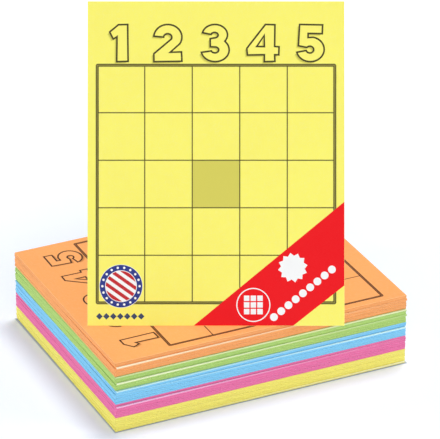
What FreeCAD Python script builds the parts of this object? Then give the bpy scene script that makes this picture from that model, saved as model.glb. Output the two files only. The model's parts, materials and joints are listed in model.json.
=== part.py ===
import FreeCAD, Part
import math
import os

import Sketcher

# A pack of 36 loose game cards. Thirty-five lie squared up in a stack of five colours, seven of
# each, and the last one stands on the stack, leaning back. Every card is the same die-cut board
# with square corners and lightly broken edges, and its print is a thin layer of ink on the face.
#
# Frame: X runs along the stack's long side, Y across it, Z up. The origin is the middle of the
# stack's underside. The heads of the lying cards point to -X, and the long side at -Y is the front.
#
# A card's own frame: x across it, y up it to its head, z out of its printed face, with the origin
# in the middle of its back.

SIZES = {
    # the board
    "card_width": 181.0,
    "card_length": 228.6,
    "board_thickness": 1.5,
    "edge_break": 0.2,
    # the print: a grid in a double-line frame, with a tinted square in the middle
    "squares": 5,
    "grid_side_margin": 6.85,
    "grid_foot_margin": 16.2,
    "frame_line": 0.75,
    "frame_line_gap": 0.6,
    "rule_width": 0.75,
    "ink_height": 0.04,
    "tint_height": 0.02,
    # the stack
    "cards_per_colour": 7,
    "card_gap": 0.08,
    "loose_play": 0.14,
    # the standing card: its lower left corner's place, and how it is turned and leans
    "stand_from_left": 4.3,
    "stand_from_front": 57.0,
    "stand_turn": 25.5,
    "stand_lean": 27.5,
}

COLOURS_FROM_BELOW = ("yellow", "pink", "blue", "green", "orange")

# How far a card stands out of the front of the stack, in mm, at its left and at its right end.
PROUD_CARDS = {
    "yellow_card_1": (0.0, 0.9),
    "pink_card_6": (1.3, 0.1),
    "blue_card_5": (0.1, 1.3),
    "blue_card_7": (1.3, 0.2),
    "green_card_4": (1.5, 0.2),
    "green_card_7": (0.6, 1.2),
    "orange_card_5": (1.4, 0.0),
}
PLAY_STEP = 2.4  # radians from one card's play to the next one's, so that no two in a row agree

GRID = "(Sizes.card_width - 2 * Sizes.grid_side_margin)"
SQUARE = f"({GRID} / Sizes.squares)"
GRID_CENTRE_Y = f"(Sizes.grid_foot_margin + {GRID} / 2 - Sizes.card_length / 2)"


def make_sheet(doc):
    """The driving dimensions, in millimetres and degrees, one named cell each."""
    sheet = doc.addObject("Spreadsheet::Sheet", "Sizes")
    for row, (name, value) in enumerate(SIZES.items(), start=1):
        sheet.set(f"A{row}", name)
        sheet.set(f"B{row}", str(value))
        sheet.setAlias(f"B{row}", name)
    doc.recompute()
    return sheet


def origin_plane(body, role):
    """One of a body's own origin planes."""
    return next(feature for feature in body.Origin.OriginFeatures if feature.Role == role)


def add_centred_rectangle(sketch, name, width, height):
    """A rectangle about the sketch's origin, with its two sizes bound to formulas."""
    ends = [FreeCAD.Vector(x, y, 0) for x, y in ((-1, -1), (1, -1), (1, 1), (-1, 1))]
    sides = sketch.addGeometry(
        [Part.LineSegment(start, end) for start, end in zip(ends, ends[1:] + ends[:1])], False
    )
    for side, following in zip(sides, sides[1:] + sides[:1]):
        sketch.addConstraint(Sketcher.Constraint("Coincident", side, 2, following, 1))
    for side, direction in zip(sides, ("Horizontal", "Vertical") * 2):
        sketch.addConstraint(Sketcher.Constraint(direction, side))
    sketch.addConstraint(Sketcher.Constraint("Symmetric", sides[0], 1, sides[2], 1, -1, 1))
    for kind, side, label, formula in (
        ("DistanceX", sides[0], f"{name}_width", width),
        ("DistanceY", sides[1], f"{name}_height", height),
    ):
        index = sketch.addConstraint(Sketcher.Constraint(kind, side, 1, side, 2, 2.0))
        sketch.renameConstraint(index, label)
        sketch.setExpression(f"Constraints.{label}", formula)


def add_sketch(body, name, rectangles, centre=None):
    """A sketch of centred rectangles on the card's back, or on its face at a given centre."""
    sketch = body.newObject("Sketcher::SketchObject", name)
    sketch.AttachmentSupport = (origin_plane(body, "XY_Plane"), "")
    sketch.MapMode = "FlatFace"
    for label, (width, height) in rectangles.items():
        add_centred_rectangle(sketch, label, width, height)
    if centre is not None:
        for axis, formula in zip("xyz", (*centre, "Sizes.board_thickness")):
            sketch.setExpression(f"AttachmentOffset.Base.{axis}", formula)
    sketch.Visibility = False
    return sketch


def add_pad(body, name, sketch, height):
    """A pad of the sketch, as high as the formula says."""
    pad = body.newObject("PartDesign::Pad", name)
    pad.Profile = sketch
    pad.setExpression("Length", height)
    body.Tip = pad
    return pad


def add_board(doc, body):
    """The die-cut board: a plate with square corners and all its edges lightly broken."""
    outline = add_sketch(body, "outline", {"board": ("Sizes.card_width", "Sizes.card_length")})
    plate = add_pad(body, "plate", outline, "Sizes.board_thickness")
    doc.recompute()
    rims = body.newObject("PartDesign::Chamfer", "rims")
    rims.Base = (plate, [f"Edge{number}" for number in range(1, len(plate.Shape.Edges) + 1)])
    rims.setExpression("Size", "Sizes.edge_break")
    body.Tip = rims


def add_rules(body, name, turn_to_rows):
    """One rule between two columns or rows of squares, repeated over the grid."""
    length = f"{GRID} - Sizes.frame_line_gap"
    first = f"-{SQUARE} * (Sizes.squares / 2 - 1)"
    if turn_to_rows:
        size, centre, axis = (length, "Sizes.rule_width"), ("0", f"{GRID_CENTRE_Y} + {first}"), "V_Axis"
    else:
        size, centre, axis = ("Sizes.rule_width", length), (first, GRID_CENTRE_Y), "H_Axis"
    sketch = add_sketch(body, f"{name}_sketch", {name: size}, centre)
    rule = add_pad(body, name, sketch, "Sizes.ink_height")
    rules = body.newObject("PartDesign::LinearPattern", f"{name}s")
    rules.Originals = [rule]
    rules.Direction = (sketch, [axis])
    rules.setExpression("Length", f"{SQUARE} * (Sizes.squares - 2)")
    rules.setExpression("Occurrences", "Sizes.squares - 1")
    body.Tip = rules


def add_print(body):
    """The ink on the face: a double-line frame, the rules of the grid and the tinted middle square."""
    centre = ("0", GRID_CENTRE_Y)
    outer_line = "Sizes.frame_line_gap / 2 + Sizes.frame_line"
    edges = {
        "outer_line_outside": f"{GRID} + 2 * ({outer_line})",
        "outer_line_inside": f"{GRID} + Sizes.frame_line_gap",
        "inner_line_outside": f"{GRID} - Sizes.frame_line_gap",
        "inner_line_inside": f"{GRID} - 2 * ({outer_line})",
    }
    frame = add_sketch(body, "frame_sketch", {k: (v, v) for k, v in edges.items()}, centre)
    add_pad(body, "frame", frame, "Sizes.ink_height")
    add_rules(body, "column_rule", turn_to_rows=False)
    add_rules(body, "row_rule", turn_to_rows=True)
    middle = add_sketch(body, "free_square_sketch", {"free_square": (SQUARE, SQUARE)}, centre)
    add_pad(body, "free_square", middle, "Sizes.tint_height")


def make_card(doc, label, printed):
    """One card in its own frame. A card whose face is covered at rest keeps a plain face here."""
    body = doc.addObject("PartDesign::Body", label)
    body.Label = label
    add_board(doc, body)
    if printed:
        add_print(body)
    return body


def front_play(label, layer, sheet):
    """How far a lying card stands out of the stack's front at its left and right ends."""
    if label in PROUD_CARDS:
        return PROUD_CARDS[label]
    return tuple(
        sheet.loose_play * (0.5 + 0.5 * math.sin(PLAY_STEP * layer + end)) for end in (0.0, 1.0)
    )


def lay_in_stack(card, layer, sheet):
    """Puts a card in its layer of the stack, with its small turn and shift from dead square."""
    at_left, at_right = front_play(card.Label, layer, sheet)
    twist = math.degrees(math.atan2(at_left - at_right, sheet.card_length))
    along = sheet.loose_play * math.sin(PLAY_STEP * layer)
    card.Placement = FreeCAD.Placement(
        FreeCAD.Vector(along, -(at_left + at_right) / 2, 0),
        FreeCAD.Rotation(FreeCAD.Vector(0, 0, 1), 90 + twist),
    )
    card.setExpression("Placement.Base.z", f"{layer} * (Sizes.board_thickness + Sizes.card_gap)")


def stand_on_stack(card, layers, sheet):
    """Stands a card on the top layer on the lower edge of its back, turned and leaning back."""
    top = layers * (sheet.board_thickness + sheet.card_gap)
    corner = FreeCAD.Vector(
        sheet.stand_from_left - sheet.card_length / 2,
        sheet.stand_from_front - sheet.card_width / 2,
        top,
    )
    turned = FreeCAD.Rotation(FreeCAD.Vector(0, 0, 1), -sheet.stand_turn)
    raised = FreeCAD.Rotation(FreeCAD.Vector(1, 0, 0), 90 - sheet.stand_lean)
    middle = FreeCAD.Vector(sheet.card_width / 2, sheet.card_length / 2, 0)
    rotation = turned.multiply(raised)
    card.Placement = FreeCAD.Placement(corner + rotation.multVec(middle), rotation)


def check(doc, cards):
    """Stops if any feature failed or any card isn't one valid solid."""
    failed = [o.Label for o in doc.Objects if {"Invalid", "Error"} & set(o.State)]
    for card in cards:
        shape = card.Shape
        if shape.isNull() or not shape.isValid() or len(shape.Solids) != 1:
            failed.append(card.Label)
    if failed:
        raise RuntimeError(f"failed: {', '.join(failed)}")


def main():
    """Builds the pack and writes one file for each card."""
    doc = FreeCAD.newDocument("card_pack")
    sheet = make_sheet(doc)
    cards = []
    for colour in COLOURS_FROM_BELOW:
        for number in range(1, int(sheet.cards_per_colour) + 1):
            is_top = colour == COLOURS_FROM_BELOW[-1] and number == sheet.cards_per_colour
            card = make_card(doc, f"{colour}_card_{number}", printed=is_top)
            lay_in_stack(card, len(cards), sheet)
            cards.append(card)
    standing = make_card(doc, "standing_yellow_card", printed=True)
    stand_on_stack(standing, len(cards), sheet)
    cards.append(standing)
    doc.recompute()
    check(doc, cards)
    os.makedirs("parts", exist_ok=True)
    for card in cards:
        card.Shape.exportStep(f"parts/{card.Label}.step")
    print(f"{len(cards)} cards, {sum(card.Shape.Volume for card in cards) / 1000:.1f} cm3")


main()
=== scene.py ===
"""The looks of a pack of game cards: a stack of coloured board cards and one card standing on it.

A card's own frame has x across it, y up to its head and z out of its printed face, with the origin
in the middle of its back. A card's sizes are in millimetres until a mesh is made of them. Sizes of
materials, lamps and the floor are in metres.
"""

import json
import logging
import math
from dataclasses import dataclass, field
from enum import Enum
from typing import ClassVar

import bmesh
import bpy
import numpy as np
from mathutils import Matrix, Vector

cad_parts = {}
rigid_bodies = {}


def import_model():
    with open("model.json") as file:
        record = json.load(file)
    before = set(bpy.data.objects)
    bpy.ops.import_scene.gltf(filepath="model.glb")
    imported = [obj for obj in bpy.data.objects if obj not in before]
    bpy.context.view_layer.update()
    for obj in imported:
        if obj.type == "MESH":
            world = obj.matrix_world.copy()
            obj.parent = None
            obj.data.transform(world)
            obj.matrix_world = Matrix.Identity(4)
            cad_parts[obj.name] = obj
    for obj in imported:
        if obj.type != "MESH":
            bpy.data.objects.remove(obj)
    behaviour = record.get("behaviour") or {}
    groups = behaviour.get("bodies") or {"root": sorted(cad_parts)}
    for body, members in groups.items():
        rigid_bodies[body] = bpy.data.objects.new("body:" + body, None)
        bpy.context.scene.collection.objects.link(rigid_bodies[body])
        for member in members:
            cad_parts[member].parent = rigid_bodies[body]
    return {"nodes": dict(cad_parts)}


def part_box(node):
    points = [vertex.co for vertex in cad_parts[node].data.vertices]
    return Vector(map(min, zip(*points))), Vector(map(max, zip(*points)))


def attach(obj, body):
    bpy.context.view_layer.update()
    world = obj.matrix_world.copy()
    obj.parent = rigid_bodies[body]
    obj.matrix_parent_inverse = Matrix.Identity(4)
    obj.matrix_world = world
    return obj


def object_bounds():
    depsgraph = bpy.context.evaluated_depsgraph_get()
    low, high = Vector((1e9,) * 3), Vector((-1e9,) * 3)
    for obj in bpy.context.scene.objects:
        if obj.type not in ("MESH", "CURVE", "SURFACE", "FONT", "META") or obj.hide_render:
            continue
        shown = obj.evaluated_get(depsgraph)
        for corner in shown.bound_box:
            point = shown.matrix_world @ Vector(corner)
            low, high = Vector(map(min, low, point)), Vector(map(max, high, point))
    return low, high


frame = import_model()
CAD_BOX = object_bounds()

logging.basicConfig(level=logging.INFO, format="%(message)s")
log = logging.getLogger("card_pack")

MM = 0.001
IMAGE_WIDTH, IMAGE_HEIGHT = 440, 439

Triple = tuple[float, float, float]
RGB = Triple
Point = tuple[float, float]
Loop = list[Point]
Socket = bpy.types.NodeSocket

# --- colours -------------------------------------------------------------------------------------

BLACK: RGB = (0.0, 0.0, 0.0)
WHITE: RGB = (1.0, 1.0, 1.0)
BARE_FIBRE: RGB = (0.93, 0.93, 0.93)
COOL_LIGHT: RGB = (0.98, 1.0, 1.045)


def ink_rgb(red: int, green: int, blue: int) -> RGB:
    """A colour written in 0 to 255 steps of screen colour.

    Args:
        red, green, blue: the three channels.

    Returns:
        The same colour as linear values, as a shader takes them.
    """
    channels = (value / 255 for value in (red, green, blue))
    return tuple(c / 12.92 if c <= 0.04045 else ((c + 0.055) / 1.055) ** 2.4 for c in channels)


def blend_rgb(first: RGB, second: RGB, share: float) -> RGB:
    """A colour that far from the first one to the second."""
    return tuple(a + (b - a) * share for a, b in zip(first, second))


def scale_rgb(colour: RGB, factor: float, most: float = 0.985) -> RGB:
    """A colour made darker or lighter by a factor, but never quite white."""
    return tuple(min(channel * factor, most) for channel in colour)


def lift_rgb(colour: RGB, amount: float, most: float = 0.96) -> RGB:
    """A colour with as much added to each channel, but never quite white."""
    return tuple(min(channel + amount, most) for channel in colour)


class BoardColour(Enum):
    """The five colours of board, from the bottom of the stack up."""

    YELLOW = "yellow"
    PINK = "pink"
    BLUE = "blue"
    GREEN = "green"
    ORANGE = "orange"

    @property
    def slot(self) -> str:
        """The record's material slot for this board."""
        return f"{self.value}_board"


@dataclass(frozen=True)
class BoardTones:
    """The colours that go with one board: its face, its cut sides and the ink of its lines."""

    face: RGB
    side: RGB
    line: RGB


TONES = {
    BoardColour.YELLOW: BoardTones(ink_rgb(254, 244, 108), ink_rgb(240, 228, 108), ink_rgb(84, 78, 42)),
    BoardColour.PINK: BoardTones(ink_rgb(236, 118, 170), ink_rgb(231, 108, 163), ink_rgb(84, 36, 56)),
    BoardColour.BLUE: BoardTones(ink_rgb(132, 204, 240), ink_rgb(124, 198, 238), ink_rgb(38, 68, 88)),
    BoardColour.GREEN: BoardTones(ink_rgb(180, 217, 120), ink_rgb(168, 204, 107), ink_rgb(62, 80, 38)),
    BoardColour.ORANGE: BoardTones(ink_rgb(250, 171, 99), ink_rgb(243, 162, 94), ink_rgb(84, 44, 24)),
}


# --- wiring node trees ---------------------------------------------------------------------------


class Graph:
    """A shader tree while it is being wired."""

    kind = "ShaderNodeTree"

    def __init__(self, tree: bpy.types.NodeTree) -> None:
        """Starts on an empty tree."""
        self.tree = tree
        tree.nodes.clear()

    @classmethod
    def group(cls, name: str, inputs: dict[str, str], outputs: dict[str, str]) -> tuple["Graph", dict, dict]:
        """Starts a node group with named sockets.

        Args:
            name: the group's name.
            inputs: the type of each input, by name.
            outputs: the type of each output, by name.

        Returns:
            The tree to wire, the sockets that its inputs put out, and its output node's inputs.
        """
        tree = bpy.data.node_groups.new(name, cls.kind)
        for way, sockets in (("INPUT", inputs), ("OUTPUT", outputs)):
            for label, socket_type in sockets.items():
                tree.interface.new_socket(label, in_out=way, socket_type=f"NodeSocket{socket_type}")
        graph = cls(tree)
        entry = graph.add("NodeGroupInput")
        end = graph.add("NodeGroupOutput")
        return graph, entry.outputs, end.inputs

    def add(self, kind: str, inputs: dict | None = None, **settings: object) -> bpy.types.Node:
        """Adds a node.

        Args:
            kind: the node's type.
            inputs: a value or another node's socket for each input, by name or by number.
            settings: the node's own properties.

        Returns:
            The node.
        """
        node = self.tree.nodes.new(kind)
        for name, value in settings.items():
            setattr(node, name, value)
        for name, value in (inputs or {}).items():
            if isinstance(value, Socket):
                self.link(value, node.inputs[name])
            else:
                node.inputs[name].default_value = value
        return node

    def link(self, value: Socket, target: Socket) -> None:
        """Wires what one node puts out to an input of another."""
        self.tree.links.new(value, target)

    def math(self, operation: str, *values: object, clamp: bool = False) -> Socket:
        """The result of a Math node on one, two or three numbers or sockets."""
        node = self.add("ShaderNodeMath", dict(enumerate(values)), operation=operation, use_clamp=clamp)
        return node.outputs[0]

    def rise(self, value: object, slope: float, start: float) -> Socket:
        """A number that starts there and grows with the value."""
        return self.math("MULTIPLY_ADD", value, slope, start)

    def weigh(self, first: object, second: object, share: float) -> Socket:
        """The mean of two numbers, in which the first one has that share."""
        rest = self.math("MULTIPLY", second, 1.0 - share)
        return self.math("ADD", self.math("MULTIPLY", first, share), rest)

    def highest(self, *values: object) -> Socket:
        """Compares numbers.

        Args:
            values: two or more numbers or sockets.

        Returns:
            The highest of them.
        """
        result = values[0]
        for value in values[1:]:
            result = self.math("MAXIMUM", result, value)
        return result

    def vector(self, operation: str, *values: object) -> Socket:
        """The result of a Vector Math node."""
        node = self.add("ShaderNodeVectorMath", dict(enumerate(values)), operation=operation)
        return node.outputs["Value" if operation in ("DOT_PRODUCT", "LENGTH") else "Vector"]

    def combine(self, x: object = 0.0, y: object = 0.0, z: object = 0.0) -> Socket:
        """Three numbers or sockets as one vector."""
        return self.add("ShaderNodeCombineXYZ", {"X": x, "Y": y, "Z": z}).outputs[0]

    def separate(self, vector: object) -> bpy.types.NodeOutputs:
        """The parts of a vector, by the names X, Y and Z."""
        return self.add("ShaderNodeSeparateXYZ", {"Vector": vector}).outputs

    def mix(self, factor: object, first: object, second: object) -> Socket:
        """Mixes two colours.

        Args:
            factor: 0 for the first colour, 1 for the second one.
            first, second: the colours, each of them an RGB or a socket.

        Returns:
            The colour between them.
        """
        ends = {
            slot: (*colour, 1.0) if isinstance(colour, tuple) else colour
            for slot, colour in ((6, first), (7, second))
        }
        return self.add("ShaderNodeMix", {0: factor, **ends}, data_type="RGBA").outputs[2]

    def ramp(self, value: object, low: float, high: float) -> Socket:
        """0 below low, 1 above high, and a smooth rise between them."""
        inputs = {"Value": value, "From Min": low, "From Max": high}
        return self.add("ShaderNodeMapRange", inputs, interpolation_type="SMOOTHSTEP").outputs[0]

    def noise(self, vector: object, scale: float, detail: float = 2.0) -> Socket:
        """Noise between 0 and 1, in features of one over scale metres."""
        inputs = {"Vector": vector, "Scale": scale, "Detail": detail}
        return self.add("ShaderNodeTexNoise", inputs).outputs["Fac"]

    def stretched_noise(self, vector: object, scales: Triple, detail: float = 1.0) -> Socket:
        """Noise whose scale differs along x, y and z."""
        return self.noise(self.vector("MULTIPLY", vector, scales), 1.0, detail)

    def own_frame(self, vector: Socket, place: Matrix) -> Socket:
        """A vector of the pack's frame in the frame of a card with that place."""
        inputs = {"Vector": vector, "Location": place.translation, "Rotation": tuple(place.to_euler("XYZ"))}
        return self.add("ShaderNodeMapping", inputs, vector_type="TEXTURE").outputs[0]


class LayoutGraph(Graph):
    """A geometry tree of flat parts, each of which ends as a real mesh with a finish of its own."""

    kind = "GeometryNodeTree"

    def __init__(self, tree: bpy.types.NodeTree) -> None:
        """Starts on an empty tree, with no parts."""
        super().__init__(tree)
        self.parts: list[Socket] = []

    def block(self, x: object, y: object, z: object) -> Socket:
        """A block about the origin."""
        return self.add("GeometryNodeMeshCube", {"Size": self.combine(x, y, z)}).outputs["Mesh"]

    def bead(self, sides: object, radius: object, height: object) -> Socket:
        """A flat bead with straight sides about the origin."""
        sizes = {"Vertices": sides, "Radius": radius, "Depth": height}
        return self.add("GeometryNodeMeshCylinder", sizes).outputs["Mesh"]

    def square_line(self, side: object, width: object, height: object, corner: object = None) -> Socket:
        """A line round a square about the origin.

        Args:
            side: the side of the square that the line's middle follows.
            width, height: the line's own width and height.
            corner: the radius of its round corners. Without one they are mitred.

        Returns:
            The line's mesh.
        """
        path = self.add("GeometryNodeCurvePrimitiveQuadrilateral", {"Width": side, "Height": side}).outputs[0]
        # The profile lies across each corner's mitre, which is this much longer than the line is wide.
        mitre = math.sqrt(2.0) if corner is None else 1.0
        if corner is not None:
            rounding = {"Curve": path, "Count": 6, "Radius": corner}
            path = self.add("GeometryNodeFilletCurve", rounding, mode="POLY").outputs[0]
        section = {"Width": width, "Height": self.math("DIVIDE", height, mitre)}
        profile = self.add("GeometryNodeCurvePrimitiveQuadrilateral", section).outputs[0]
        sweep = {"Curve": path, "Profile Curve": profile, "Scale": mitre}
        return self.add("GeometryNodeCurveToMesh", sweep).outputs[0]

    def row(self, count: object, start: Socket, step: Socket) -> Socket:
        """A row of points."""
        line = {"Count": count, "Start Location": start, "Offset": step}
        return self.add("GeometryNodeMeshLine", line).outputs[0]

    def repeat(self, points: Socket, shape: Socket) -> Socket:
        """A shape at each of the points."""
        return self.add("GeometryNodeInstanceOnPoints", {"Points": points, "Instance": shape}).outputs[0]

    def keep(self, part: Socket, finish: Socket, height: object = 0.0) -> None:
        """Adds a part to the layout.

        Args:
            part: its geometry, which may still be instances.
            finish: its material.
            height: how high it is, if it has to be raised to stand on the face.
        """
        rise = self.combine(z=self.math("MULTIPLY", height, 0.5))
        raised = self.add("GeometryNodeTransform", {"Geometry": part, "Translation": rise}).outputs[0]
        real = self.add("GeometryNodeRealizeInstances", {"Geometry": raised}).outputs[0]
        dressed = self.add("GeometryNodeSetMaterial", {"Geometry": real, "Material": finish}).outputs[0]
        self.parts.append(dressed)

    def join(self, result: Socket) -> bpy.types.NodeTree:
        """Joins the parts.

        Args:
            result: the tree's output for them.

        Returns:
            The finished tree.
        """
        joined = self.add("GeometryNodeJoinGeometry")
        for part in self.parts:
            self.link(part, joined.inputs[0])
        self.link(joined.outputs[0], result)
        return self.tree


def mesh_from_tree(tree: bpy.types.NodeTree, values: dict[str, object]) -> bpy.types.Mesh:
    """Runs a geometry node tree.

    Args:
        tree: the tree.
        values: a value for each of its inputs, by name.

    Returns:
        What it makes, as a plain mesh.
    """
    empty = bpy.data.meshes.new("host")
    host = bpy.data.objects.new("host", empty)
    bpy.context.scene.collection.objects.link(host)
    modifier = host.modifiers.new("layout", "NODES")
    modifier.node_group = tree
    for item in tree.interface.items_tree:
        if item.in_out == "INPUT" and item.name in values:
            modifier[item.identifier] = values[item.name]
    evaluated = host.evaluated_get(bpy.context.evaluated_depsgraph_get())
    mesh = bpy.data.meshes.new_from_object(evaluated)
    bpy.data.objects.remove(host)
    bpy.data.meshes.remove(empty)
    return mesh


# --- effects that several finishes use -----------------------------------------------------------


class Effect(Enum):
    """The shader groups, each built once."""

    FIBRE = "pressed_fibre"
    CUT_EDGE = "cut_edge"
    INK_FILM = "ink_film"


@dataclass(frozen=True)
class PressedFibre:
    """The felt of short fibres in a sheet of board: a cloudy tone, single fibres and a fine height.

    Attributes:
        cloud, formation, tooth: how many features of each kind there are in a metre.
        cloud_share, strand_share: the share of the clouds in the tone, and of the fibres in the height.
        strands: for each direction of the fibres, its angle and how many there are along and across.
        shows: how strong a strand is where it starts to show as a fibre, and where it shows fully.
    """

    cloud: float = 22.0
    formation: float = 170.0
    tooth: float = 1500.0
    cloud_share: float = 0.6
    strand_share: float = 0.6
    strands: tuple[Triple, ...] = ((0.3, 320.0, 2400.0), (1.45, 260.0, 2900.0), (2.5, 380.0, 2100.0))
    shows: Point = (0.56, 0.78)

    def build(self) -> None:
        """Builds the group."""
        names = ("Cloud", "Fibres", "Height")
        graph, given, result = Graph.group(
            Effect.FIBRE.value, {"Vector": "Vector"}, dict.fromkeys(names, "Float")
        )
        place = given["Vector"]
        cloud = graph.noise(place, self.cloud, detail=3.0)
        formation = graph.noise(place, self.formation, detail=4.0)
        graph.link(graph.weigh(cloud, formation, self.cloud_share), result["Cloud"])
        directions = []
        for angle, along, across in self.strands:
            turn = {"Vector": place, "Angle": angle}
            turned = graph.add("ShaderNodeVectorRotate", turn, rotation_type="Z_AXIS").outputs[0]
            directions.append(graph.stretched_noise(turned, (along, across, along)))
        strands = graph.highest(*directions)
        graph.link(graph.ramp(strands, *self.shows), result["Fibres"])
        tooth = graph.noise(place, self.tooth, detail=3.0)
        graph.link(graph.weigh(strands, tooth, self.strand_share), result["Height"])


@dataclass(frozen=True)
class CutEdge:
    """The die-cut sides of lying or standing board.

    Sides is 1 on a cut side, Rims is 1 on its broken edges, Plies are the pressed layers that show
    there, Worn is where an edge is paler along its length, partly worn board and partly painted light,
    Card differs from one card to the next, and the last output is a painted highlight: how pale the
    front rim and the ledge of a card that stands out of the stack are painted, where light would catch them.

    Attributes:
        pitch: the height of a layer of the stack.
        length: the stack's length.
        reach: how far the stack's front is from its middle.
        painted_highlight_rims: a card's layer from below, and the painted highlight's strength at its left
            and right end.
        plies: how many features a cut side has in a metre along it, and how many layers in its height.
        side_lean, rim_lean, face_lean: how far a face leans towards flat where a cut side ends, where a
            broken edge starts, and where the face or back of a card starts.
        slack: how far a card's underside may lie below its layer.
        worn, worn_shift: how many worn stretches there are in a metre, and how far they are shifted
            from one card to the next.
        nicks: how many nicks there are in a metre of an edge, along it and in its height.
        worn_shows, nick_shows: how strong the noise of each is where it starts to show, and fully.
        paler: how much of an edge's paleness depends on them.
        rim_height: how high in its layer the painted highlight on a front rim starts, and is full.
        front_lean, ledge_lean: how far a face leans forward, or towards flat, where it takes the painted
            highlight.
        ledge: how far a card stands out of the front where the painted highlight on its ledge is full.
    """

    pitch: float
    length: float
    reach: float
    painted_highlight_rims: tuple[tuple[int, float, float], ...] = (
        (0, 0.0, 0.9), (12, 0.9, 0.0), (18, 0.1, 1.0), (20, 0.9, 0.0), (24, 1.2, 0.2), (27, 0.5, 0.85),
        (32, 1.1, 0.0),
    )
    plies: Point = (10.0, 3600.0)
    side_lean: Point = (0.2, 0.5)
    rim_lean: Point = (0.3, 0.6)
    face_lean: Point = (0.8, 0.95)
    slack: float = 0.00002
    worn: float = 9.0
    worn_shift: float = 7.3
    nicks: Point = (1300.0, 1600.0)
    worn_shows: Point = (0.42, 0.68)
    nick_shows: Point = (0.5, 0.75)
    paler: float = 0.15
    rim_height: Point = (0.2, 0.6)
    front_lean: Point = (0.3, 0.6)
    ledge_lean: Point = (0.4, 0.8)
    ledge: float = 0.0004

    def build(self) -> None:
        """Builds the group."""
        names = ("Sides", "Rims", "Plies", "Worn", "Card", "Streak")
        graph, given, result = Graph.group(
            Effect.CUT_EDGE.value, {"Vector": "Vector", "Normal": "Vector"}, dict.fromkeys(names, "Float")
        )
        place = given["Vector"]
        up, forward = (
            graph.math("ABSOLUTE", graph.vector("DOT_PRODUCT", given["Normal"], axis))
            for axis in ((0, 0, 1), (0, 1, 0))
        )
        graph.link(graph.math("SUBTRACT", 1.0, graph.ramp(up, *self.side_lean)), result["Sides"])
        not_flat = graph.math("SUBTRACT", 1.0, graph.ramp(up, *self.face_lean))
        graph.link(graph.math("MULTIPLY", graph.ramp(up, *self.rim_lean), not_flat), result["Rims"])
        along, high = self.plies
        graph.link(graph.stretched_noise(place, (along, along, high)), result["Plies"])

        parts = graph.separate(place)
        level = graph.math("DIVIDE", graph.math("ADD", parts["Z"], self.slack), self.pitch)
        layer = graph.math("FLOOR", level)
        card = graph.add("ShaderNodeTexWhiteNoise", {"W": layer}, noise_dimensions="1D").outputs["Value"]
        graph.link(card, result["Card"])
        drift = graph.combine(z=graph.math("MULTIPLY", layer, self.worn_shift))
        shifted = graph.vector("ADD", graph.vector("MULTIPLY", place, (self.worn, self.worn, 0.0)), drift)
        stretches = graph.ramp(graph.noise(shifted, 1.0), *self.worn_shows)
        along, high = self.nicks
        nicks = graph.ramp(graph.stretched_noise(place, (along, along, high)), *self.nick_shows)
        nicked = graph.rise(nicks, self.paler, 1.0 - self.paler)
        graph.link(graph.math("MULTIPLY", stretches, nicked), result["Worn"])

        # The painted highlight lies on the top of the front side, and on the ledge of the face that stands
        # out
        # over it: pale colour where light would catch a card that stands out of the stack.
        uneven = graph.rise(stretches, self.paler, 1.0 - self.paler)
        pale = graph.math("MULTIPLY", self.painted_highlight_strength(graph, parts["X"], layer), uneven)
        top = graph.ramp(graph.math("SUBTRACT", level, layer), *self.rim_height)
        rim = graph.math("MULTIPLY", top, graph.ramp(forward, *self.front_lean))
        out = graph.ramp(parts["Y"], -self.reach, -self.reach - self.ledge)
        ledge = graph.math("MULTIPLY", graph.ramp(up, *self.ledge_lean), out)
        graph.link(graph.math("MULTIPLY", pale, graph.highest(ledge, rim)), result["Streak"])

    def painted_highlight_strength(self, graph: Graph, x: Socket, layer: Socket) -> Socket:
        """How strong the painted highlight on the front rim is.

        Args:
            graph: the group's tree.
            x: the place along the stack.
            layer: the card's layer from below.

        Returns:
            0 for bare board, and 1 for the full painted highlight.
        """
        along = graph.math("ADD", graph.math("DIVIDE", x, self.length), 0.5, clamp=True)
        pale = 0.0
        for number, at_left, at_right in self.painted_highlight_rims:
            there = graph.math("COMPARE", layer, float(number), 0.1)
            strength = graph.rise(along, at_right - at_left, at_left)
            pale = graph.math("MULTIPLY_ADD", there, strength, pale)
        return pale


@dataclass(frozen=True)
class InkFilm:
    """The thin film of ink on board: where it is thin, how it shines, and the height of its grain.

    Attributes:
        broad, fine, pinholes: how many features of each kind there are in a metre.
        fine_shows, pinhole_shows: how strong the noise of each is where it starts to thin the film, and
            where it does so fully.
        fine_share: the share of the fine noise against the pinholes.
    """

    broad: float = 60.0
    fine: float = 1900.0
    pinholes: float = 3800.0
    fine_shows: Point = (0.35, 0.75)
    pinhole_shows: Point = (0.66, 0.8)
    fine_share: float = 0.5

    def build(self) -> None:
        """Builds the group."""
        names = ("Thin", "Shine", "Height")
        graph, given, result = Graph.group(
            Effect.INK_FILM.value, {"Vector": "Vector"}, dict.fromkeys(names, "Float")
        )
        place = given["Vector"]
        broad = graph.noise(place, self.broad, detail=3.0)
        fine = graph.noise(place, self.fine)
        pinholes = graph.ramp(graph.noise(place, self.pinholes, detail=1.0), *self.pinhole_shows)
        thin = graph.weigh(graph.ramp(fine, *self.fine_shows), pinholes, self.fine_share)
        graph.link(graph.math("MULTIPLY", thin, graph.math("ADD", 0.5, broad), clamp=True), result["Thin"])
        graph.link(broad, result["Shine"])
        graph.link(fine, result["Height"])


# --- finishes ------------------------------------------------------------------------------------


def new_material(name: str) -> tuple[bpy.types.Material, Graph, bpy.types.Node, Socket]:
    """Starts a material.

    Args:
        name: the material's name.

    Returns:
        The material, its tree, its shader, already linked to the output, and its Object coordinates.
    """
    material = bpy.data.materials.new(name)
    material.use_nodes = True
    graph = Graph(material.node_tree)
    output = graph.add("ShaderNodeOutputMaterial")
    shader = graph.add("ShaderNodeBsdfPrincipled")
    graph.link(shader.outputs[0], output.inputs["Surface"])
    coordinates = graph.add("ShaderNodeTexCoord").outputs["Object"]
    return material, graph, shader, coordinates


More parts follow.
